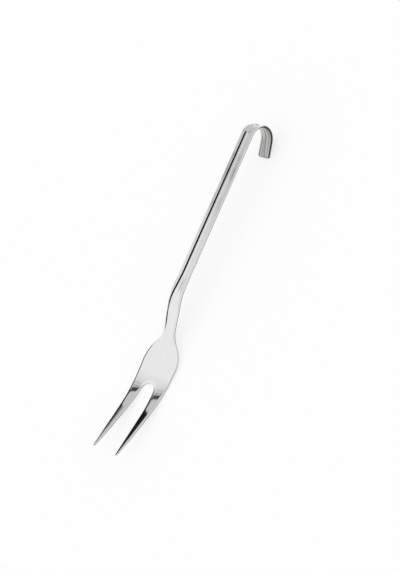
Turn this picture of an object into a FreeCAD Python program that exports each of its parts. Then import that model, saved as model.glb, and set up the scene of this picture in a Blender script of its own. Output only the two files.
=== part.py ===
import FreeCAD, Part
import math
import os
import Sketcher

# A one-piece serving fork, cut, pressed and bent from one sheet of polished stainless steel.
# Body frame: X across the fork, Y along the handle towards the hook, Z out of the served face.
# The hook starts where the straight handle ends, at Y = 0, and the handle's front face is Z = 0.
# At the end the fork is laid on its back, with the origin under the middle of its box.

doc = FreeCAD.newDocument("serving_fork")
sheet = doc.addObject("Spreadsheet::Sheet", "Sizes")

# Driving sizes in millimetres and degrees
driving = (
    ("gauge", 2.5, "thickness of the sheet"),
    ("edge_round", 0.6, "rounding of the cut edges"),
    ("handle_length", 175.0, "straight handle, from the hook to the neck bend"),
    ("handle_width", 16.0, "width of the handle and hook"),
    ("hook_radius", 16.8, "outer radius of the hook"),
    ("hook_bend", 160.0, "angle that the hook turns through"),
    ("hook_end", 17.0, "straight end of the hook"),
    ("hook_corner", 2.0, "corners of the hook's end"),
    ("neck_slope", 20.0, "angle of the neck below the handle"),
    ("neck_radius", 50.0, "bend from the handle into the neck"),
    ("neck_length", 30.0, "straight sloping neck"),
    ("heel_radius", 96.0, "bend from the neck into the blade"),
    ("blade_length", 10.4, "flat of the blade between its two curves"),
    ("root_radius", 150.0, "upward curve at the roots of the tines"),
    ("tine_slope", 17.0, "angle of the tines above the blade"),
    ("tip_gauge", 1.6, "thickness of the tines at their tips"),
    ("shoulder_inner", 15.0, "hollow rounding between neck and shoulder"),
    ("shoulder_angle", 43.5, "flare of the shoulders from the Y axis"),
    ("shoulder_outer", 28.0, "rounding between shoulder and side"),
    ("head_width", 49.3, "width of the blade at the head place"),
    ("head_place", 80.0, "handle's end to the top of the long sides, along Y"),
    ("side_taper", 2.5, "slope of the long sides at the head place"),
    ("side_radius", 2700.0, "slow curve of the long sides"),
    ("tip_place", 181.0, "handle's end to the tips, along Y"),
    ("tip_round", 1.2, "rounding of a tip in the plan view"),
    ("slot_place", 99.5, "handle's end to the top of the slot, along Y"),
    ("slot_radius", 9.6, "round end of the slot between the tines"),
    ("channel_width", 7.2, "pressed channel, at the front face"),
    ("channel_depth", 1.2, "depth of the channel"),
    ("channel_wall", 45.0, "slope of the channel's walls"),
    ("flute_width", 2.6, "flute along the middle of the channel's floor"),
    ("flute_depth", 0.35, "depth of the flute"),
    ("channel_stop", 14.0, "handle's end to the start of the channel's run-out"),
    ("runout_radius", 90.0, "curve on which the channel runs out"),
    ("margin", 5.0, "how far a cutter stands past the sheet"),
)

# Sizes that follow from the driving ones
derived = (
    ("hook_inner", "=hook_radius - gauge", "inner radius of the hook"),
    ("neck_inner", "=neck_radius - gauge", "back of the neck bend"),
    ("heel_outer", "=heel_radius + gauge", "back of the heel bend"),
    ("root_outer", "=root_radius + gauge", "back of the tine roots"),
    ("blank_width", "=head_width + 2 * margin", "sheet before the outline is cut"),
    ("blank_foot", "=handle_length + tip_place + tip_round", "hook to the foot of the blank, along Y"),
    ("half_handle", "=handle_width / 2", "centre line to the handle's edge"),
    ("half_head", "=head_width / 2", "centre line to the blade's edge"),
    ("head_foot", "=handle_length + head_place", "hook to the head place, along Y"),
    ("shoulder_turn", "=shoulder_angle + side_taper", "angle of the outer shoulder rounding"),
    ("tip_centre", "=handle_length + tip_place - tip_round", "hook to the centre of a tip's rounding"),
    ("slot_centre", "=handle_length + slot_place + slot_radius", "hook to the centre of the slot's end"),
    ("slot_lap", "=slot_radius / 8", "how far each half of the slot passes the middle"),
    ("cut_top", "=hook_radius + margin", "top of the outline cutter"),
    ("cut_side", "=head_width / 2 + 2 * margin", "side of the outline cutter"),
    ("cut_foot", "=blank_foot + 2 * margin", "foot of the outline cutter"),
    ("half_channel", "=channel_width / 2", "centre line to the channel's edge"),
    ("wall_run", "=channel_depth / tan(channel_wall * 1 deg)", "width of a channel wall"),
    ("half_floor", "=half_channel - wall_run", "centre line to the floor's edge"),
    ("half_flute", "=flute_width / 2", "centre line to the flute's edge"),
    ("flute_foot", "=channel_depth + flute_depth", "front face to the bottom of the flute"),
    ("cut_lift", "=gauge / 2", "channel cutter above the front face"),
    ("half_mouth", "=half_channel + cut_lift / tan(channel_wall * 1 deg)", "top of the channel cutter"),
    ("wall_shift", "=gauge * tan(channel_wall * 0.5 deg)", "channel wall to rib wall, at the faces"),
    ("half_rib", "=half_channel + wall_shift", "centre line to the rib's foot"),
    ("half_crest", "=half_floor + wall_shift", "centre line to the rib's crest"),
    ("rib_root", "=0.74 * gauge", "front face to the part of the rib inside the sheet"),
    ("rib_crest", "=gauge + channel_depth", "front face to the rib's crest"),
    ("rib_ridge", "=gauge + flute_foot", "front face to the ridge behind the flute"),
    ("channel_run", "=handle_length - channel_stop", "hook to the start of the run-out"),
    ("runout_rise", "=flute_foot + 0.02 * gauge", "rise of the channel at its run-out"),
    ("runout_turn", "=acos(1 - runout_rise / runout_radius) / 1 deg", "angle of the run-out curve"),
)

for row, (alias, value, note) in enumerate(driving + derived, start=1):
    sheet.set("A%d" % row, alias)
    sheet.set("B%d" % row, str(value))
    sheet.set("C%d" % row, note)
    sheet.setAlias("B%d" % row, alias)
doc.recompute()

body = doc.addObject("PartDesign::Body", "serving_fork")
body.Label = "serving_fork"
LEFT = 1
RIGHT = -1
GEO_X_AXIS = -1
GEO_Y_AXIS = -2
START, END, CENTRE = range(1, 4)  # a curve's points, as the sketcher counts them
UP = FreeCAD.Vector(0, 0, 1)


def size(alias):
    return float(sheet.get(alias))


def origin_plane(role):
    return [feature for feature in body.Origin.OriginFeatures if feature.Role == role][0]


def new_sketch(name, role):
    """A sketch on one of the body's own origin planes."""
    sketch = body.newObject("Sketcher::SketchObject", name)
    sketch.AttachmentSupport = [(origin_plane(role), "")]
    sketch.MapMode = "FlatFace"
    return sketch


def bind(sketch, kind, where, alias, sign=1):
    """A dimension tied to a cell of the sheet."""
    angle = kind == "Angle"
    value = sign * (math.radians(size(alias)) if angle else size(alias))
    index = sketch.addConstraint(Sketcher.Constraint(kind, *where, value))
    formula = "Sizes.%s" % alias + (" * 1 deg" if angle else "")
    sketch.setExpression("Constraints[%d]" % index, formula if sign > 0 else "-" + formula)


def fix_point(sketch, geo, end, across, along):
    """Places a point by (alias, sign) distances from the origin; None keeps it on that axis."""
    for kind, axis, place in (("DistanceX", GEO_Y_AXIS, across), ("DistanceY", GEO_X_AXIS, along)):
        if place is None:
            sketch.addConstraint(Sketcher.Constraint("PointOnObject", geo, end, axis))
        else:
            bind(sketch, kind, (-1, 1, geo, end), *place)


def join(sketch, geo_a, end_a, geo_b, end_b, kind="Coincident"):
    sketch.addConstraint(Sketcher.Constraint(kind, geo_a, end_a, geo_b, end_b))


def point(x, y):
    return FreeCAD.Vector(x, y, 0)


def along(heading):
    """The unit vector at an angle in degrees."""
    return point(math.cos(math.radians(heading)), math.sin(math.radians(heading)))


def add_line(sketch, start, end):
    return sketch.addGeometry(Part.LineSegment(start, end))


def add_arc(sketch, centre, radius, start, end, turn):
    """An arc with its (start end, end end); a sketch keeps arcs anticlockwise, so a right turn is swapped."""
    first, last = (start, end) if turn == LEFT else (end, start)
    angles = [math.atan2(p.y - centre.y, p.x - centre.x) for p in (first, last)]
    if angles[1] < angles[0]:
        angles[1] += 2 * math.pi
    geo = sketch.addGeometry(Part.ArcOfCircle(Part.Circle(centre, UP, radius), *angles))
    return (geo, START, END) if turn == LEFT else (geo, END, START)


def draw_chain(sketch, start, heading, steps):
    """Lines and arcs that follow each other smoothly; gives (geo, start end, end end) for each."""
    pieces = []
    for step in steps:
        if step[0] == "line":
            target = start + along(heading) * size(step[1])
            piece = (add_line(sketch, start, target), START, END)
            bind(sketch, "Distance", (piece[0],), step[1])
        else:
            radius_alias, turn_alias, turn, free = step[1:] + (False,) * (5 - len(step))
            radius = size(radius_alias)
            centre = start + along(heading + 90 * turn) * radius
            heading += turn * size(turn_alias)
            target = centre - along(heading + 90 * turn) * radius
            piece = add_arc(sketch, centre, radius, start, target, turn)
            bind(sketch, "Radius", (piece[0],), radius_alias)
            if not free:
                bind(sketch, "Angle", (piece[0],), turn_alias)
        if pieces:
            join(sketch, pieces[-1][0], pieces[-1][2], piece[0], piece[1], "Tangent")
        pieces.append(piece)
        start = target
    return pieces, start, heading


def finish(feature):
    """Recomputes and makes sure that the feature changed the solid as it should."""
    doc.recompute()
    assert feature.Shape.isValid(), feature.Name
    if feature.isDerivedFrom("Sketcher::SketchObject"):
        assert feature.FullyConstrained, feature.Name
        return feature
    before = feature.BaseFeature.Shape.Volume if feature.BaseFeature else 0
    assert abs(feature.Shape.Volume - before) > 1, feature.Name + " changes nothing"
    return feature


# Side view: the bent sheet from the hook's end to the tips
side = new_sketch("side_view", "YZ_Plane")
hook_steps = lambda radius: (("arc", radius, "hook_bend", RIGHT), ("line", "hook_end"))
head_steps = lambda neck, heel, root, free: (
    ("line", "handle_length"), ("arc", neck, "neck_slope", LEFT), ("line", "neck_length"),
    ("arc", heel, "neck_slope", RIGHT), ("line", "blade_length"), ("arc", root, "tine_slope", RIGHT, free),
)
top = point(0, 0)
under = point(0, -size("gauge"))
front_hook, front_hook_end, _ = draw_chain(side, top, 0, hook_steps("hook_radius"))
back_hook, back_hook_end, _ = draw_chain(side, under, 0, hook_steps("hook_inner"))
front_head, front_root, heading = draw_chain(
    side, top, 180, head_steps("neck_radius", "heel_radius", "root_radius", False))
back_head, back_root, _ = draw_chain(
    side, under, 180, head_steps("neck_inner", "heel_outer", "root_outer", True))

for hook, head in ((front_hook, front_head), (back_hook, back_head)):
    join(side, head[0][0], head[0][1], hook[0][0], hook[0][1], "Tangent")
    side.addConstraint(Sketcher.Constraint("Horizontal", head[0][0]))
fix_point(side, front_head[0][0], front_head[0][1], None, None)
fix_point(side, back_head[0][0], back_head[0][1], None, ("gauge", -1))
hook_cap = add_line(side, front_hook_end, back_hook_end)
join(side, hook_cap, START, front_hook[-1][0], front_hook[-1][2])
join(side, hook_cap, END, back_hook[-1][0], back_hook[-1][2])

# The tines thin down towards their tips
reach = (size("blank_foot") + front_root.x) / math.cos(math.radians(size("tine_slope")))
front_tip = front_root + along(heading) * reach
back_tip = front_tip + along(heading + 90) * size("tip_gauge")
front_tine = add_line(side, front_root, front_tip)
back_tine = add_line(side, back_root, back_tip)
tip_cap = add_line(side, front_tip, back_tip)
join(side, front_head[-1][0], front_head[-1][2], front_tine, START, "Tangent")
join(side, back_head[-1][0], back_head[-1][2], back_tine, START, "Tangent")
join(side, front_tine, END, tip_cap, START)
join(side, back_tine, END, tip_cap, END)
side.addConstraint(Sketcher.Constraint("Perpendicular", front_tine, tip_cap))
bind(side, "DistanceX", (-1, 1, front_tine, END), "blank_foot", -1)
bind(side, "Distance", (tip_cap,), "tip_gauge")
finish(side)

blank = body.newObject("PartDesign::Pad", "bent_sheet")
blank.Profile = side
blank.SideType = "Symmetric"
blank.setExpression("Length", "Sizes.blank_width")
finish(blank)

# Plan view: everything outside the right half of the outline, cut away and mirrored
plan = new_sketch("half_outline", "XY_Plane")
handle_top = point(size("half_handle"), size("cut_top"))
head_point = point(size("half_head"), -size("head_foot"))
shoulder = -90 + size("shoulder_angle")
flank = -90 - size("side_taper")

# First guesses for the solver: the free lengths of neck and shoulder, then the tip and the slot
inner_centre_x = size("half_handle") + size("shoulder_inner")
outer_centre = head_point + along(flank - 90) * size("shoulder_outer")
outer_start = outer_centre + along(shoulder + 90) * size("shoulder_outer")
inner_end_x = inner_centre_x - math.cos(math.radians(shoulder + 90)) * size("shoulder_inner")
shoulder_length = (outer_start.x - inner_end_x) / along(shoulder).x
inner_end = outer_start - along(shoulder) * shoulder_length
inner_centre = inner_end + along(shoulder + 90) * size("shoulder_inner")
inner_start = point(size("half_handle"), inner_centre.y)
side_centre = head_point + along(flank - 90) * size("side_radius")
side_rise = (size("tip_centre") - size("head_foot")) / size("side_radius")
side_turn = math.degrees(math.asin(math.sin(math.radians(size("side_taper"))) + side_rise)) - size("side_taper")
side_foot = side_centre - along(flank - side_turn - 90) * size("side_radius")
tip_middle = side_foot + along(flank - side_turn - 90) * size("tip_round")
slot_middle = point(0, -size("slot_centre"))
gap = slot_middle - tip_middle
tuck = math.degrees(math.asin((size("slot_radius") + size("tip_round")) / gap.Length))
slot_heading = math.degrees(math.atan2(gap.y, gap.x)) - tuck
tip_inside = tip_middle + along(slot_heading + 90) * size("tip_round")
slot_side = slot_middle - along(slot_heading + 90) * size("slot_radius")
lap = size("slot_lap")
slot_top = slot_middle + point(-lap, math.sqrt(size("slot_radius") ** 2 - lap ** 2))
corners = (
    point(-lap, -size("cut_foot")), point(size("cut_side"), -size("cut_foot")),
    point(size("cut_side"), size("cut_top")),
)

handle_edge = add_line(plan, handle_top, inner_start)
hollow = add_arc(plan, inner_centre, size("shoulder_inner"), inner_start, inner_end, LEFT)
shoulder_edge = add_line(plan, inner_end, outer_start)
bulge = add_arc(plan, outer_centre, size("shoulder_outer"), outer_start, head_point, RIGHT)
flank_edge = add_arc(plan, side_centre, size("side_radius"), head_point, side_foot, RIGHT)
tip = add_arc(plan, tip_middle, size("tip_round"), side_foot, tip_inside, RIGHT)
slot_edge = add_line(plan, tip_inside, slot_side)
slot_end = add_arc(plan, slot_middle, size("slot_radius"), slot_side, slot_top, LEFT)
middle_edge = add_line(plan, slot_top, corners[0])
foot_edge = add_line(plan, corners[0], corners[1])
far_edge = add_line(plan, corners[1], corners[2])
top_edge = add_line(plan, corners[2], handle_top)

smooth = (
    (handle_edge, START, END), hollow, (shoulder_edge, START, END), bulge, flank_edge, tip,
    (slot_edge, START, END), slot_end,
)
for piece, following in zip(smooth, smooth[1:]):
    join(plan, piece[0], piece[2], following[0], following[1], "Tangent")
join(plan, slot_end[0], slot_end[2], middle_edge, START)
join(plan, middle_edge, END, foot_edge, START)
join(plan, foot_edge, END, far_edge, START)
join(plan, far_edge, END, top_edge, START)
join(plan, top_edge, END, handle_edge, START)
for geo in (handle_edge, middle_edge, far_edge):
    plan.addConstraint(Sketcher.Constraint("Vertical", geo))
for geo in (foot_edge, top_edge):
    plan.addConstraint(Sketcher.Constraint("Horizontal", geo))

fix_point(plan, handle_edge, START, ("half_handle", 1), ("cut_top", 1))
fix_point(plan, bulge[0], bulge[2], ("half_head", 1), ("head_foot", -1))
fix_point(plan, slot_end[0], CENTRE, None, ("slot_centre", -1))
fix_point(plan, far_edge, START, ("cut_side", 1), ("cut_foot", -1))
bind(plan, "DistanceX", (-1, 1, middle_edge, START), "slot_lap", -1)
bind(plan, "DistanceY", (-1, 1, tip[0], CENTRE), "tip_centre", -1)
for piece, alias in (
    (hollow, "shoulder_inner"), (bulge, "shoulder_outer"), (flank_edge, "side_radius"),
    (tip, "tip_round"), (slot_end, "slot_radius"),
):
    bind(plan, "Radius", (piece[0],), alias)
bind(plan, "Angle", (bulge[0],), "shoulder_turn")
bind(plan, "Angle", (hollow[0],), "shoulder_angle")
finish(plan)

outline = body.newObject("PartDesign::Pocket", "outline_cut")
outline.Profile = plan
outline.Type = "ThroughAll"
outline.SideType = "Symmetric"
finish(outline)

both_sides = body.newObject("PartDesign::Mirrored", "both_sides")
both_sides.Originals = [outline]
both_sides.MirrorPlane = (origin_plane("YZ_Plane"), [""])
body.Tip = both_sides
finish(both_sides)


def edges_of(feature, wanted):
    return ["Edge%d" % n for n, edge in enumerate(feature.Shape.Edges, start=1) if wanted(edge)]


def round_edges(name, base, edges, alias):
    fillet = body.newObject("PartDesign::Fillet", name)
    fillet.Base = (base, edges)
    fillet.setExpression("Radius", "Sizes." + alias)
    return finish(fillet)


# Rounded corners of the hook's end, then every cut edge of the sheet
cap_middle = (front_hook_end + back_hook_end) * 0.5
cap_centre = FreeCAD.Vector(0, cap_middle.x, cap_middle.y)
corner_reach = size("half_handle") + size("gauge") / 2


def is_hook_corner(edge):
    middle = edge.BoundBox.Center
    through_sheet = abs(edge.Length - size("gauge")) < 0.01
    return through_sheet and (middle - cap_centre).Length < corner_reach


def is_cut_edge(edge):
    """An edge where two faces of the sheet meet at more than a slight angle."""
    faces = both_rounded.Shape.ancestorsOfType(edge, Part.Face)
    if len(faces) != 2:
        return False
    spot = edge.valueAt((edge.FirstParameter + edge.LastParameter) / 2)
    normals = [face.normalAt(*face.Surface.parameter(spot)) for face in faces]
    return abs(normals[0].dot(normals[1])) < 0.7


both_rounded = round_edges("hook_corners", both_sides, edges_of(both_sides, is_hook_corner), "hook_corner")
soft = round_edges("soft_edges", both_rounded, edges_of(both_rounded, is_cut_edge), "edge_round")

# Pressed channel: a rib on the back and a channel on the front, along the handle and round the hook
handle_path = new_sketch("handle_path", "YZ_Plane")
runout_steps = (("line", "channel_run"), ("arc", "runout_radius", "runout_turn", RIGHT))
path_line, path_arc = draw_chain(handle_path, top, 180, runout_steps)[0]
handle_path.addConstraint(Sketcher.Constraint("Horizontal", path_line[0]))
fix_point(handle_path, path_line[0], path_line[1], None, None)
finish(handle_path)

hook_path = new_sketch("hook_path", "YZ_Plane")
hook_arc, hook_line = draw_chain(hook_path, top, 0, hook_steps("hook_radius"))[0]
fix_point(hook_path, hook_arc[0], hook_arc[1], None, None)
hook_path.addConstraint(Sketcher.Constraint("PointOnObject", hook_arc[0], CENTRE, GEO_Y_AXIS))
finish(hook_path)


def draw_section(name, half, foot):
    """A closed section across the handle: the points of its right half, then its lowest middle point."""
    sketch = new_sketch(name, "XZ_Plane")
    right = [point(size(across), sign * size(height)) for across, height, sign in half]
    ring = right + [point(0, -size(foot))] + [point(-p.x, p.y) for p in reversed(right)]
    count = len(ring)
    geos = [add_line(sketch, ring[n], ring[(n + 1) % count]) for n in range(count)]
    for n, geo in enumerate(geos):
        join(sketch, geo, END, geos[(n + 1) % count], START)
    fix_point(sketch, geos[len(half)], START, None, (foot, -1))
    for n, (across, height, sign) in enumerate(half):
        fix_point(sketch, geos[n], START, (across, 1), (height, sign))
        mirrored = (geos[n], START, geos[count - 1 - n], START, GEO_Y_AXIS)
        sketch.addConstraint(Sketcher.Constraint("Symmetric", *mirrored))
    return finish(sketch)


rib_half = (
    ("half_rib", "rib_root", -1), ("half_rib", "gauge", -1),
    ("half_crest", "rib_crest", -1), ("half_flute", "rib_crest", -1),
)
channel_half = (
    ("half_mouth", "cut_lift", 1), ("half_floor", "channel_depth", -1), ("half_flute", "channel_depth", -1),
)
rib_section = draw_section("rib_section", rib_half, "rib_ridge")
channel_section = draw_section("channel_section", channel_half, "flute_foot")
for kind, name, section, path in (
    ("PartDesign::AdditivePipe", "handle_rib", rib_section, handle_path),
    ("PartDesign::AdditivePipe", "hook_rib", rib_section, hook_path),
    ("PartDesign::SubtractivePipe", "handle_channel", channel_section, handle_path),
    ("PartDesign::SubtractivePipe", "hook_channel", channel_section, hook_path),
):
    pipe = body.newObject(kind, name)
    pipe.Profile = section
    pipe.Spine = (path, [])
    finish(pipe)

# Laid on its back: the lowest side-view edge under the centre of mass goes onto the ground
mesh_step = 0.05
outline_points = sorted((p.y, p.z) for p in body.Shape.tessellate(mesh_step)[0])
lower = []
for spot in outline_points:
    while len(lower) > 1:
        (ya, za), (yb, zb) = lower[-2:]
        if (yb - ya) * (spot[1] - za) - (zb - za) * (spot[0] - ya) > 0:
            break
        lower.pop()
    lower.append(spot)
mass = body.Shape.Solids[0].CenterOfMass
for (ya, za), (yb, zb) in zip(lower, lower[1:]):
    slope = math.atan2(zb - za, yb - ya)
    pressed = (mass.y * math.cos(slope) + mass.z * math.sin(slope))
    if ya * math.cos(slope) + za * math.sin(slope) <= pressed <= yb * math.cos(slope) + zb * math.sin(slope):
        break
laid = FreeCAD.Rotation(FreeCAD.Vector(1, 0, 0), -math.degrees(slope))
turned = [laid.multVec(FreeCAD.Vector(0, y, z)) for y, z in outline_points]
middle_y = (min(p.y for p in turned) + max(p.y for p in turned)) / 2
foot_z = min(p.z for p in turned)
body.Placement = FreeCAD.Placement(FreeCAD.Vector(0, -middle_y, -foot_z), laid)
doc.recompute()

for feature in doc.Objects:
    assert "Invalid" not in feature.State and "Error" not in feature.State, feature.Name
assert body.Shape.isValid() and len(body.Shape.Solids) == 1

os.makedirs("parts", exist_ok=True)
body.Shape.exportStep("parts/serving_fork.step")
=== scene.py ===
import math
import bpy
from mathutils import Matrix, Vector


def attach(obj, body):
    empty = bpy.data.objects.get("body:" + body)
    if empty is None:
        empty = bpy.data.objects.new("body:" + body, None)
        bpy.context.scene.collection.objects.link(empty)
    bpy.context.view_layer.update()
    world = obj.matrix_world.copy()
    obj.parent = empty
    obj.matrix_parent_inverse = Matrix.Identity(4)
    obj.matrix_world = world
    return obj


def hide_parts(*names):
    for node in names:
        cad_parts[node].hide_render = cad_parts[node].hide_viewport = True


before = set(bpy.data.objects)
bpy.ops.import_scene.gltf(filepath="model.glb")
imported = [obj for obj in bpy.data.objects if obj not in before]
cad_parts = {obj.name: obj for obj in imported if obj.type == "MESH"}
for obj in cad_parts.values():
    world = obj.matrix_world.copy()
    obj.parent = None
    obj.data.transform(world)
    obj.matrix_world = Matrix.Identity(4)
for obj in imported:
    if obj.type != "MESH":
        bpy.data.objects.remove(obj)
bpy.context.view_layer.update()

# A serving fork cut, pressed and bent from one stainless steel sheet, lying on its back.
# It is modelled flat and in mm, as the blank is: X across, Y along the sheet towards the hook,
# with the front face at Z = 0 and the hook's bend starting at Y = 0.
mm = 0.001
level = 0.999    # a face counts as flat when its normal has more than this of Z


def deselectAll():
    if bpy.context.object and bpy.context.object.mode != "OBJECT":
        bpy.ops.object.mode_set(mode="OBJECT")
    bpy.ops.object.select_all(action="DESELECT")


def partsOf(piece, kind):
    mesh = piece.data
    return {"VERT": mesh.vertices, "EDGE": mesh.edges, "FACE": mesh.polygons}[kind]


def selectChosen(piece, kind, chosen):
    # kind is VERT, EDGE or FACE, and chosen holds a yes or no for each
    bpy.ops.object.mode_set(mode="OBJECT")
    for each in ("VERT", "EDGE", "FACE"):
        parts = partsOf(piece, each)
        parts.foreach_set("select", [False] * len(parts))
    partsOf(piece, kind).foreach_set("select", chosen)
    bpy.ops.object.mode_set(mode="EDIT")
    bpy.ops.mesh.select_mode(type=kind)


def selectParts(piece, kind, test):
    bpy.ops.object.mode_set(mode="OBJECT")
    selectChosen(piece, kind, [bool(test(part)) for part in partsOf(piece, kind)])


def clamp(value):
    return min(max(value, 0.0), 1.0)


def smooth(value):
    value = clamp(value)
    return value * value * (3 - 2 * value)


def smoothAlong(span, y):
    # from 0 to 1 over a span of the sheet, going towards the tips
    start, end = span
    return smooth((start - y) / (start - end))


def onLine(points, y):
    # value at y on the line through (value, along) points, which run towards the tips
    for (here, start), (there, end) in zip(points, points[1:]):
        if y >= end:
            return here + (there - here) * max(start - y, 0.0) / (start - end)
    return points[-1][0]


# The flat blank and its rounded edges
blank = {
    "gauge": 2.5,
    # corner points of the right half: across, along, how far the rounding reaches, steps
    "corners": (
        (8.0, 63.9, 2.0, 6),        # hook's end
        (8.0, -176.0, 5.0, 3),      # the neck swells a little, then narrows to the shoulders
        (8.45, -187.0, 5.0, 3),
        (8.45, -201.0, 4.0, 3),
        (7.65, -211.0, 4.0, 3),
        (7.65, -226.6, 7.0, 10),    # neck to shoulder
        (25.15, -245.1, 11.6, 14),  # shoulder to side
        (22.45, -308.4, 48.0, 10),  # slow curve of the side
        (18.34, -361.3, 1.08, 6),   # tip
        (16.14, -361.3, 1.08, 6),
        (8.77, -277.3, 8.72, 16),   # round end of the slot
    ),
    "neckCorners": 6,                       # the first of them, down to the shoulder
    "hollow": 17.5,                         # radius that the last of those comes to
    "edgeRound": (0.5, 1.1),                # front, back
    "turns": (90, 76, 60, 44, 28, 12),      # slopes in degrees round the cut edge
    "lastCosine": 0.978,                    # cosine of the last slope
    "roll": (0.13, 0.3, 0.5, 0.72, 1.0),    # loops over the buffed border, as shares of its width
    "rollWidth": 3.56,
    "rollSlope": 0.21,
    "firstInset": 0.02,                     # each loop starts so close to the one before
}

# The sides of the tines: distance from the middle of the fork at the tips, and what it gains
# as far as the roots
tines = {
    "tips": -361.3,
    "roots": -277.0,
    "outer": (18.34, 5.75),
    "inner": (16.14, -7.37),
}

# Width of the buffed border, as a share of rollWidth
border = {
    "handle": 0.3,
    "widens": (-214.0, -236.0),
    "tineMargin": 0.6,              # mm of a tine's half width that it leaves free
    "tineShare": 0.235,             # share for each mm of the rest
    "rightLess": 0.6,
    "narrows": (-268.0, -280.0),
}


def tineSpan(y):
    # middle of the right tine and half its width, along the sheet
    share = clamp((y - tines["tips"]) / (tines["roots"] - tines["tips"]))
    outer, inner = (atTip + share * gain for atTip, gain in (tines["outer"], tines["inner"]))
    return (outer + inner) / 2, (outer - inner) / 2


def borderShare(x, y):
    # the buffed border is narrow along the handle, full on the blade and as wide as the tines
    # allow, but narrow again on the right of each tine
    neck = border["handle"] + (1 - border["handle"]) * smoothAlong(border["widens"], y)
    middle, half = tineSpan(y)
    onRight = x > math.copysign(middle, x)
    less = border["rightLess"] * onRight * smoothAlong(border["narrows"], y)
    tine = (half - border["tineMargin"]) * border["tineShare"] * (1 - less)
    return min(neck, tine)


def edgeLoops(values, side):
    # for each loop: distance inside the outline, more of it where the border is full,
    # fall, and how much of the border's drop is left
    radius = values["edgeRound"][0 if side > 0 else 1]
    loops = []
    for turn in values["turns"]:
        turn = math.radians(turn)
        fall = radius * (values["lastCosine"] - math.cos(turn))
        loops.append((radius * (1 - math.sin(turn)), 0.0, fall, 1.0))
    if side > 0:
        near = loops[-1][0]
        for share in values["roll"]:
            loops.append((near, share * values["rollWidth"], 0.0, (1 - share) ** 2))
    return loops


def loopPoints(piece):
    # the points of the selected face, and for each the point next to it on the loop outside
    inner = {n for face in piece.data.polygons if face.select for n in face.vertices}
    outer = {}
    for edge in piece.data.edges:
        a, b = edge.vertices
        if (a in inner) != (b in inner):
            outer[a if a in inner else b] = b if a in inner else a
    return inner, outer


def roundFace(piece, values, side):
    # loops inside the outline of one flat face, each moved to its distance and depth
    top = 0.0 if side > 0 else -values["gauge"]
    drop = values["rollSlope"] * values["rollWidth"] / 2 if side > 0 else 0.0
    inset = values["firstInset"]
    selectParts(piece, "FACE", lambda face: face.normal.z * side > level)
    before = (0.0, 0.0)
    for number, (near, far, fall, left) in enumerate(edgeLoops(values, side)):
        if number:
            bpy.ops.mesh.inset(thickness=inset * mm, use_boundary=True)
        bpy.ops.object.mode_set(mode="OBJECT")
        verts = piece.data.vertices
        inner, outer = loopPoints(piece)
        for n in inner:
            x, y = verts[n].co.xy
            share = borderShare(x / mm, y / mm)
            if number:
                base = verts[outer[n]].co
                step = (near - before[0]) + (far - before[1]) * share
                x, y = (base + (verts[n].co - base) * (step / inset)).xy
            depth = fall + drop * share * left
            verts[n].co = (x, y, (top - side * depth) * mm)
        before = (near, far)
        bpy.ops.object.mode_set(mode="EDIT")
    bpy.ops.object.mode_set(mode="OBJECT")


def buildBlank(values):
    deselectAll()
    right = [Vector((x, y, 0)) * mm for x, y, reach, steps in values["corners"]]
    left = [Vector((-p.x, p.y, 0)) for p in reversed(right)]
    ring = right + left
    bpy.ops.mesh.primitive_plane_add(size=1, location=(0, 0, 0))
    piece = bpy.context.object
    piece.name = "fork_sheet"
    bpy.ops.object.mode_set(mode="EDIT")
    bpy.ops.mesh.merge(type="CENTER")
    bpy.ops.transform.translate(value=ring[0])
    for here, there in zip(ring, ring[1:]):
        bpy.ops.mesh.extrude_vertices_move(TRANSFORM_OT_translate={"value": there - here})
    bpy.ops.mesh.select_all(action="SELECT")
    bpy.ops.mesh.edge_face_add()
    for x, y, reach, steps in values["corners"]:
        spot = Vector((x, y, 0)) * mm
        atCorner = lambda v: (Vector((abs(v.co.x), v.co.y, 0)) - spot).length < 0.001 * mm
        selectParts(piece, "VERT", atCorner)
        bpy.ops.mesh.bevel(
            offset=reach * mm, offset_type="OFFSET", segments=steps, profile=0.5,
            affect="VERTICES")
    bpy.ops.mesh.select_all(action="SELECT")
    bpy.ops.mesh.remove_doubles(threshold=0.1 * mm)
    downwards = {"value": (0, 0, -values["gauge"] * mm)}
    bpy.ops.mesh.extrude_region_move(TRANSFORM_OT_translate=downwards)
    bpy.ops.mesh.select_all(action="SELECT")
    bpy.ops.mesh.normals_make_consistent(inside=False)
    for side in (1, -1):
        roundFace(piece, values, side)
    return piece


fork = buildBlank(blank)
print("blank cut:", len(fork.data.vertices), "points")

# Bends: where they start, towards the hook (1) or the tips (-1), radius of the front face, angle,
# and the number of rows that are turned
bends = {
    "hook": {"start": 0.0, "way": 1, "radius": 16.78, "angle": -160.0, "rows": 40},
    "neck": {"start": -175.0, "way": -1, "radius": 50.0, "angle": 20.0, "rows": 14},
    "heel": {"start": -222.45, "way": -1, "radius": 96.0, "angle": -20.0, "rows": 26},
    "root": {"start": -266.36, "way": -1, "radius": 150.0, "angle": -17.0, "rows": 36},
}

# The pressed channel: its walls run along the handle, then out to the edges of the neck, and
# fade at the shoulders
channel = {
    "depth": 1.55,
    "neckDepth": 1.4,
    "wall": 1.9,                   # width of the sloping wall
    "leastWall": 0.5,
    "wallPlace": 3.3,              # its middle, from the centre line
    "rimPlace": 0.9,               # its middle from the edge of the neck, where the walls are rims
    "spread": (-153.0, -205.0),    # the walls run out from and to
    "fade": (-229.0, -241.0),
    "flute": 0.25,                 # depth of the shallow groove along its floor
    "halfFlute": 1.3,
    "backShift": 1.03,             # the rib behind is wider by this much a side
    "backNeck": 0.4,               # share of the depth that shows behind the neck
    "backRim": 1.0,                # strip along the neck's edges that follows the front
    "columns": 0.2,                # spacing of the cuts along it
    "columnsASide": 50,
}

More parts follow.
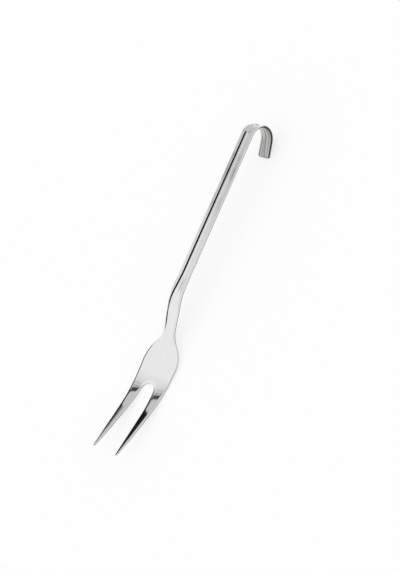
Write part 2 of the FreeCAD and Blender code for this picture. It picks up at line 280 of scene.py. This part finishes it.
# More rows cut across the sheet: the first, spacing, how many, and how near one may be to a bend's
moreRows = {"channel": (-146.0, 1.0, 96), "tines": (-312.0, 4.0, 12)}
nearestRow = 0.35

# The faces of the tines are turned a little towards the left: from, to, and slope
twist = {"right": (-292.0, -306.0, 0.074), "left": (-300.0, -340.0, 0.028)}

# Thickness along the tines: thickness, along
tineGauge = ((2.5, -280.0), (2.9, -318.0), (2.8, -338.0), (1.6, -361.3))

# Lower part of the cut edge, as shares of the thickness below the front; it gets a painted shade
# line in the steel's colour
lowerPart = (0.52, 0.98)


def cutRows(piece, places):
    bpy.ops.object.mode_set(mode="EDIT")
    for y in places:
        bpy.ops.mesh.select_all(action="SELECT")
        bpy.ops.mesh.bisect(plane_co=(0, y * mm, 0), plane_no=(0, 1, 0))
    bpy.ops.object.mode_set(mode="OBJECT")


def cutColumns(piece, side, places):
    # cuts only the flat faces inside the rounded edges, as far as the channel goes
    rounded = set()
    for face in piece.data.polygons:
        if abs(face.normal.z) < level:
            rounded.update(face.vertices)

    def inChannel(face):
        return (
            face.normal.z * side > level
            and (face.center / mm).y > channel["fade"][1]
            and not rounded.intersection(face.vertices))

    selectParts(piece, "FACE", inChannel)
    bpy.ops.mesh.hide(unselected=True)
    for x in places:
        bpy.ops.mesh.select_all(action="SELECT")
        bpy.ops.mesh.bisect(plane_co=Vector((x, 0, 0)) * mm, plane_no=(1, 0, 0))
    bpy.ops.mesh.reveal(select=False)
    bpy.ops.object.mode_set(mode="OBJECT")


def hingeRows(bend):
    length = bend["radius"] * math.radians(abs(bend["angle"]))
    step = length / bend["rows"]
    return [bend["start"] + bend["way"] * (n + 0.5) * step for n in range(bend["rows"])]


allRows = [y for bend in bends.values() for y in hingeRows(bend)]
between = [first - gap * n for first, gap, count in moreRows.values() for n in range(count)]
allRows += [y for y in between if min(abs(y - row) for row in allRows) > nearestRow]
cutRows(fork, allRows)

farthest = channel["columnsASide"]
across = [n * channel["columns"] for n in range(-farthest, farthest + 1)]
for side in (1, -1):
    cutColumns(fork, side, across)
print("rows and columns cut:", len(fork.data.vertices), "points")


def neckHalf(y):
    # half width of the handle and neck, read off the blank's corners
    corners = blank["corners"][:blank["neckCorners"]]
    narrow, low, reach, steps = corners[-1]
    opening = low + reach
    if y < opening:
        return narrow + (opening - y) ** 2 / (2 * blank["hollow"])
    return onLine([corner[:2] for corner in corners], y)


def softStep(value):
    # a straight slope with rounded ends
    value = clamp(value)
    end = 0.1
    rise = 1 / (1 - end)
    if value < end:
        return rise * value * value / (2 * end)
    if value > 1 - end:
        return 1 - rise * (1 - value) ** 2 / (2 * end)
    return rise * (value - end / 2)


def pressedDepth(x, y, back):
    # how deep the sheet is pressed at a place, in mm
    spread = smoothAlong(channel["spread"], y)
    fade = 1 - smoothAlong(channel["fade"], y)
    toRim = neckHalf(y) - channel["rimPlace"] - channel["wallPlace"]
    place = channel["wallPlace"] + spread * toRim
    if back:
        place += channel["backShift"]
        fade *= 1 - spread * (1 - channel["backNeck"])
    depth = (channel["depth"] + spread * (channel["neckDepth"] - channel["depth"])) * fade
    # a shallower wall is narrower, so it is as steep everywhere
    width = max(channel["wall"] * depth / channel["depth"], channel["leastWall"])
    wall = softStep((place + width / 2 - abs(x)) / width)
    if back and abs(x) > neckHalf(y) - channel["backRim"]:
        wall = max(wall, spread)
    flute = 0.5 + 0.5 * math.cos(math.pi * min(abs(x) / channel["halfFlute"], 1.0))
    return depth * wall + channel["flute"] * flute * (1 - spread)


def twistLift(x, y):
    middle, half = tineSpan(y)
    start, end, slope = twist["right" if x > 0 else "left"]
    return slope * (x - math.copysign(middle, x)) * smoothAlong((start, end), y)


# Pressing: the lower part of the cut edge is marked on the way, for the painted shade line in the
# steel's colour
lowerEdge = fork.data.attributes.new("lowerEdge", "FLOAT", "POINT")
for vert in fork.data.vertices:
    x, y, z = vert.co / mm
    isLower = lowerPart[0] < -z / blank["gauge"] < lowerPart[1]
    lowerEdge.data[vert.index].value = float(isLower)
    z *= onLine(tineGauge, y) / blank["gauge"]
    z += twistLift(x, y) - pressedDepth(x, y, z < -blank["gauge"] / 2)
    vert.co.z = z * mm
print("channel pressed")


def bendSheet(piece, allBends):
    # everything past each row is turned about it, from the far ends of the sheet inwards
    flatY = [vert.co.y / mm for vert in piece.data.vertices]
    hinges = []
    for bend in allBends.values():
        turn = bend["angle"] / bend["rows"]
        hinges += [(abs(y), y, bend["way"], turn) for y in hingeRows(bend)]
    hinges.sort(reverse=True)
    slack = 0.01
    for far, y, way, turn in hinges:
        # half the turn with the row's own points and half without them, so they stand between
        for edge in (-slack, slack):
            selectChosen(piece, "VERT", [(place - y) * way > edge for place in flatY])
            bpy.ops.transform.rotate(
                value=-math.radians(turn) / 2, orient_axis="X", orient_type="GLOBAL",
                center_override=(0, y * mm, 0))
    bpy.ops.object.mode_set(mode="OBJECT")


bendSheet(fork, bends)
print("sheet bent")

# Laid on its back, on the hook's end and the underside of the blade
rest = {"tilt": 3.6792, "place": (0, 168.74, 38.7485)}
tilt = Matrix.Rotation(math.radians(rest["tilt"]), 4, "X")
fork.data.transform(Matrix.Translation(Vector(rest["place"]) * mm) @ tilt)
bpy.ops.object.mode_set(mode="EDIT")
bpy.ops.mesh.select_all(action="SELECT")
bpy.ops.mesh.remove_doubles(threshold=0.01 * mm)
bpy.ops.mesh.normals_make_consistent(inside=False)
bpy.ops.object.mode_set(mode="OBJECT")
bpy.ops.object.shade_smooth()
lowest = min(vert.co.z for vert in fork.data.vertices)
print("fork lies at", round(lowest / mm, 3), "mm,", len(fork.data.polygons), "faces")

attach(fork, "root")
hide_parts("serving_fork")


def toLinear(hexText):
    parts = [int(hexText[n:n + 2], 16) / 255 for n in (0, 2, 4)]
    return [c / 12.92 if c <= 0.04045 else ((c + 0.055) / 1.055) ** 2.4 for c in parts] + [1.0]


def addNode(tree, kind, settings=None, inputs=None):
    # inputs are values, or links written as (node, output); both go by name or number
    node = tree.nodes.new(kind)
    for name, value in (settings or {}).items():
        setattr(node, name, value)
    for name, value in (inputs or {}).items():
        if isinstance(value, tuple) and isinstance(value[0], bpy.types.Node):
            tree.links.new(value[0].outputs[value[1]], node.inputs[name])
        else:
            node.inputs[name].default_value = value
    return node


def addStep(tree, source, start, end, low=0.0, high=1.0):
    # low before start and high after end, with a soft change between
    return addNode(tree, "ShaderNodeMapRange", {"interpolation_type": "SMOOTHSTEP"}, {
        "Value": source, "From Min": start, "From Max": end, "To Min": low, "To Max": high})


def newMaterial(name):
    material = bpy.data.materials.new(name)
    material.use_nodes = True
    material.node_tree.nodes.clear()
    return material


# Polished stainless steel: pressed from rolled sheet, then buffed, so it mirrors the room
# almost sharply
steel = {
    # fine lengthwise lines left by the buffing wheel: width in mm, how many go into a metre of
    # length, detail of the noise, and where in it the two colours are
    "buffed": {"width": 0.7, "inMetre": 10.0, "detail": 2.0,
               "places": (0.35, 0.65), "colours": ("E8E8E8", "EEEEEE")},
    # as rolled, inside the hook's end
    "streaky": {"width": 1.6, "inMetre": 12.0, "detail": 1.0,
                "places": (0.38, 0.6), "colours": ("80807F", "D2D2D0")},
    "hookEndY": (0.150, 0.160),    # metres, from buffed to streaky
    "hookEndZ": (0.033, 0.027),
    # painted shade along the lower edge: its dark colour, and where on the mark it is full
    "paintedShadeColour": "2E2E2D",
    "paintedShadeFrom": (0.7, 0.9),
    "roughness": (0.045, 0.075),
    "patches": {"Scale": 60.0, "Detail": 3.0, "Roughness": 0.6},    # how the roughness varies
    "patchRange": (0.3, 0.7),
    "grainAcross": 0.3,            # mm between the fine polishing lines
    "grainAlong": 60.0,            # their length in mm
    "grainDetail": 2.0,
    "grainDepth": 0.0004,
    "grainStrength": 0.5,
}


def polishedStainless(values):
    material = newMaterial("polished_stainless_steel")
    tree = material.node_tree
    place = addNode(tree, "ShaderNodeTexCoord")

    def addStripes(width, inMetre, detail):
        # noise drawn out along the fork
        drawn = addNode(tree, "ShaderNodeMapping", inputs={
            "Vector": (place, "Object"), "Scale": (1000 / width, inMetre, inMetre)})
        return addNode(tree, "ShaderNodeTexNoise", inputs={
            "Vector": (drawn, "Vector"), "Scale": 1.0, "Detail": detail})

    def addFinish(finish):
        stripes = addStripes(finish["width"], finish["inMetre"], finish["detail"])
        ramp = addNode(tree, "ShaderNodeValToRGB", inputs={"Fac": (stripes, "Fac")})
        elements = ramp.color_ramp.elements
        for element, spot, colour in zip(elements, finish["places"], finish["colours"]):
            element.position = spot
            element.color = toLinear(colour)
        return ramp

    def mixColours(share, first, second):
        # inputs 6 and 7 of a mix node are its colours, and output 2 is the result
        return addNode(tree, "ShaderNodeMix", {"data_type": "RGBA"}, {
            0: (share, 0), 6: first, 7: second})

    cloud = addNode(tree, "ShaderNodeTexNoise", inputs={
        "Vector": (place, "Object"), **values["patches"]})
    rough = addNode(tree, "ShaderNodeMapRange", inputs={
        "Value": (cloud, "Fac"),
        "From Min": values["patchRange"][0], "From Max": values["patchRange"][1],
        "To Min": values["roughness"][0], "To Max": values["roughness"][1]})
    # the hook's end isn't buffed inside and keeps the streaks of the rolls along the sheet
    spot = addNode(tree, "ShaderNodeSeparateXYZ", inputs={"Vector": (place, "Object")})
    beyond = addStep(tree, (spot, "Y"), *values["hookEndY"])
    low = addStep(tree, (spot, "Z"), *values["hookEndZ"])
    atEnd = addNode(tree, "ShaderNodeMath", {"operation": "MULTIPLY"}, {
        0: (beyond, 0), 1: (low, 0)})
    buffed, streaky = addFinish(values["buffed"]), addFinish(values["streaky"])
    finish = mixColours(atEnd, (buffed, 0), (streaky, 0))
    # painted shade: the lower part of the cut edge is coloured dark, standing in for the dark
    # outline it shows where it mirrors the shaded floor beneath
    down = addNode(tree, "ShaderNodeAttribute", {"attribute_name": "lowerEdge"})
    under = addStep(tree, (down, "Fac"), *values["paintedShadeFrom"])
    tone = mixColours(under, (finish, 2), toLinear(values["paintedShadeColour"]))
    grain = addStripes(values["grainAcross"], 1000 / values["grainAlong"], values["grainDetail"])
    bump = addNode(tree, "ShaderNodeBump", inputs={
        "Height": (grain, "Fac"), "Strength": values["grainStrength"],
        "Distance": values["grainDepth"] * mm})
    shader = addNode(tree, "ShaderNodeBsdfPrincipled", inputs={
        "Base Color": (tone, 2), "Metallic": 1.0,
        "Roughness": (rough, "Result"), "Normal": (bump, "Normal")})
    addNode(tree, "ShaderNodeOutputMaterial", inputs={"Surface": (shader, "BSDF")})
    return material


fork.data.materials.clear()
fork.data.materials.append(polishedStainless(steel))

# Studio floor: a pale sheet of paper that keeps a soft shadow
paper = {
    "colour": "FEFEFE",
    "size": 6.0,
    "white": 0.62,    # how much of it is its own white, so that the shadow stays faint
}


def buildFloor(values):
    deselectAll()
    bpy.ops.mesh.primitive_plane_add(size=values["size"], location=(0, 0, 0))
    floor = bpy.context.object
    floor.name = "studio_floor"
    material = newMaterial("pale_paper")
    tree = material.node_tree
    rays = addNode(tree, "ShaderNodeLightPath")
    seen = addNode(tree, "ShaderNodeMath", {"operation": "MAXIMUM"}, {
        0: (rays, "Is Camera Ray"), 1: (rays, "Is Glossy Ray")})
    share = addNode(tree, "ShaderNodeMath", {"operation": "MULTIPLY"}, {
        0: (seen, 0), 1: values["white"]})
    colour = toLinear(values["colour"])
    sheet = addNode(tree, "ShaderNodeBsdfDiffuse", inputs={"Color": colour})
    white = addNode(tree, "ShaderNodeEmission", inputs={"Color": colour, "Strength": 1.0})
    both = addNode(tree, "ShaderNodeMixShader", inputs={
        0: (share, 0), 1: (sheet, 0), 2: (white, 0)})
    addNode(tree, "ShaderNodeOutputMaterial", inputs={"Surface": (both, "Shader")})
    floor.data.materials.append(material)


buildFloor(paper)

# The room that the steel mirrors. Angles are in degrees: side from straight left, positive
# towards the front, and height from the floor. Soft edges are given as start, full, end, gone.
room = {
    "walls": 0.63,
    # a pale panel on the left and in front, and from where on it gets whiter
    "panel": (-15.0, -14.0, 120.0, 160.0),
    "panelWhite": 0.70,
    "whiter": (-14.0, 1.0),
    "whiterBy": 0.26,
    "ceiling": (60.0, 72.0),
    # dark strips in the panel's edge: side, width, softness, darkness
    "strips": ((-15.3, 3.2, 0.9, 0.93), (-12.4, 0.9, 0.5, 0.55), (-9.9, 0.7, 0.5, 0.40)),
    "stripHeights": (24.0, 30.0, 56.0, 62.0),
    "stripLean": 0.06,
    "leanFrom": 42.0,             # height at which the strips stand where they are put
    # low dark place: its top falls from this height and side by so much a degree
    "lowTop": 33.8,
    "lowSide": -24.5,
    "lowFall": 0.9,
    "lowLeast": 30.0,
    "lowSoft": 1.0,
    "lowSides": (-29.0, -27.0, 0.0, 10.0),
    "lowDarkness": 0.985,
    # dark oval round the camera
    "lens": (-10.0, 46.0, 12.0),    # side from straight right, height, slant
    "lensHalf": (0.5, 0.30),
    "lensSoft": (0.7, 1.3),
    "lensDarkness": 0.98,
}


def buildRoom(values):
    world = bpy.data.worlds.new("studio_room")
    bpy.context.scene.world = world
    world.use_nodes = True
    tree = world.node_tree
    tree.nodes.clear()
    way = addNode(tree, "ShaderNodeTexCoord")

    def linked(value):
        # a node stands for its first output
        return (value, 0) if isinstance(value, bpy.types.Node) else value

    def calc(operation, *terms):
        inputs = {number: linked(term) for number, term in enumerate(terms)}
        return addNode(tree, "ShaderNodeMath", {"operation": operation}, inputs)

    def step(value, *limits):
        return addStep(tree, linked(value), *limits)

    def between(value, start, full, end, gone):
        return calc("MULTIPLY", step(value, start, full), step(value, end, gone, 1.0, 0.0))

    def dim(light, darkness):
        return calc("MULTIPLY", light, calc("SUBTRACT", 1.0, darkness))

    def along(direction):
        # 1 straight towards the direction, 0 square to it
        dot = addNode(tree, "ShaderNodeVectorMath", {"operation": "DOT_PRODUCT"}, {
            0: (way, "Generated"), 1: direction})
        return dot, "Value"

    toDegrees = 180 / math.pi
    left, front, up = along((-1, 0, 0)), along((0, -1, 0)), along((0, 0, 1))
    side = calc("MULTIPLY", calc("ARCTAN2", front, left), toDegrees)
    height = calc("MULTIPLY", calc("ARCSINE", up), toDegrees)

    # walls, panel and ceiling
    panel = between(side, *values["panel"])
    above = values["panelWhite"] - values["walls"]
    whiter = step(side, *values["whiter"], above, above + values["whiterBy"])
    light = calc("ADD", values["walls"], calc("MULTIPLY", panel, whiter))
    top = step(height, *values["ceiling"])
    light = calc("ADD", dim(light, top), top)

    # dark strips
    inside = between(height, *values["stripHeights"])
    higher = calc("SUBTRACT", height, values["leanFrom"])
    leaning = calc("ADD", side, calc("MULTIPLY", higher, values["stripLean"]))
    for place, width, soft, darkness in values["strips"]:
        off = calc("ABSOLUTE", calc("SUBTRACT", leaning, place))
        strip = step(off, width / 2 - soft / 2, width / 2 + soft / 2, darkness, 0.0)
        light = dim(light, calc("MULTIPLY", strip, inside))

    # low dark place
    fall = calc("MULTIPLY", calc("SUBTRACT", side, values["lowSide"]), values["lowFall"])
    edge = calc("MAXIMUM", calc("SUBTRACT", values["lowTop"], fall), values["lowLeast"])
    soft = values["lowSoft"]
    below = step(calc("SUBTRACT", height, edge), -soft, soft, 1.0, 0.0)
    below = calc("MULTIPLY", below, between(side, *values["lowSides"]))
    light = dim(light, calc("MULTIPLY", below, values["lowDarkness"]))

    # dark oval round the camera
    turn, tall, slant = (math.radians(angle) for angle in values["lens"])
    flat = math.cos(tall)
    ahead = Vector((flat * math.cos(turn), flat * math.sin(turn), math.sin(tall)))
    sideways = Vector((-math.sin(turn), math.cos(turn), 0))
    longest = sideways * math.cos(slant) + ahead.cross(sideways) * math.sin(slant)
    longest.normalize()
    squares = []
    for direction, half in zip((longest, ahead.cross(longest)), values["lensHalf"]):
        share = calc("DIVIDE", along(direction), half)
        squares.append(calc("POWER", calc("ABSOLUTE", share), 2.0))
    oval = step(calc("ADD", *squares), *values["lensSoft"], values["lensDarkness"], 0.0)
    facing = calc("GREATER_THAN", along(ahead), 0.0)
    light = dim(light, calc("MULTIPLY", oval, facing))

    # only mirrored rays see all this, and the others see plain white
    rays = addNode(tree, "ShaderNodeLightPath")
    mirrored = addNode(tree, "ShaderNodeMix", {"data_type": "FLOAT"}, {
        "Factor": (rays, "Is Glossy Ray"), 2: 1.0, 3: (light, 0)})
    glow = addNode(tree, "ShaderNodeBackground", inputs={
        "Color": (1, 1, 1, 1), "Strength": (mirrored, "Result")})
    addNode(tree, "ShaderNodeOutputWorld", inputs={"Surface": (glow, "Background")})


buildRoom(room)

# Cards that only the steel sees: the hook and the handle mirror these in place of the dark
# strips. Each stands at a place and faces a point.
cards = {
    "hook_card": {
        "place": (-0.491, 0.309, 0.515), "size": (0.08, 0.57), "faces": (0.0, 0.164, 0.038),
        "white": 0.63,
    },
    "handle_card": {
        "place": (-0.25, 0.14, 0.093), "size": (0.23, 0.186), "faces": (1.0, 0.14, 0.093),
        "white": 0.76,
    },
}


def addCard(name, values):
    deselectAll()
    way = Vector(values["faces"]) - Vector(values["place"])
    turn = way.to_track_quat("Z", "Y").to_euler()
    bpy.ops.mesh.primitive_plane_add(size=1, location=values["place"], rotation=turn)
    card = bpy.context.object
    card.name = name
    card.scale = (*values["size"], 1)
    bpy.ops.object.transform_apply(location=True, rotation=True, scale=True)
    material = newMaterial(name)
    tree = material.node_tree
    glow = addNode(tree, "ShaderNodeEmission", inputs={"Strength": values["white"]})
    addNode(tree, "ShaderNodeOutputMaterial", inputs={"Surface": (glow, "Emission")})
    card.data.materials.append(material)
    card.visible_camera = False
    card.visible_diffuse = False
    card.visible_shadow = False


for name, values in cards.items():
    addCard(name, values)
print("studio built")

# Camera: where the outline of the fork in the photograph puts it
camera = {
    "place": (1.22894, -0.24477, 1.22936),
    "turn": (30.239, 35.959, 33.071),
    "lens": 107.6,
    "sensor": 36.0,
    "sees": 50.0,    # metres
}
view = bpy.data.cameras.new("photo_camera")
view.sensor_fit = "VERTICAL"
view.sensor_height = camera["sensor"]
view.lens = camera["lens"]
view.clip_end = camera["sees"]
viewer = bpy.data.objects.new("photo_camera", view)
viewer.location = camera["place"]
viewer.rotation_euler = [math.radians(angle) for angle in camera["turn"]]
bpy.context.collection.objects.link(viewer)
bpy.context.scene.camera = viewer
bpy.context.scene.view_settings.view_transform = "Standard"
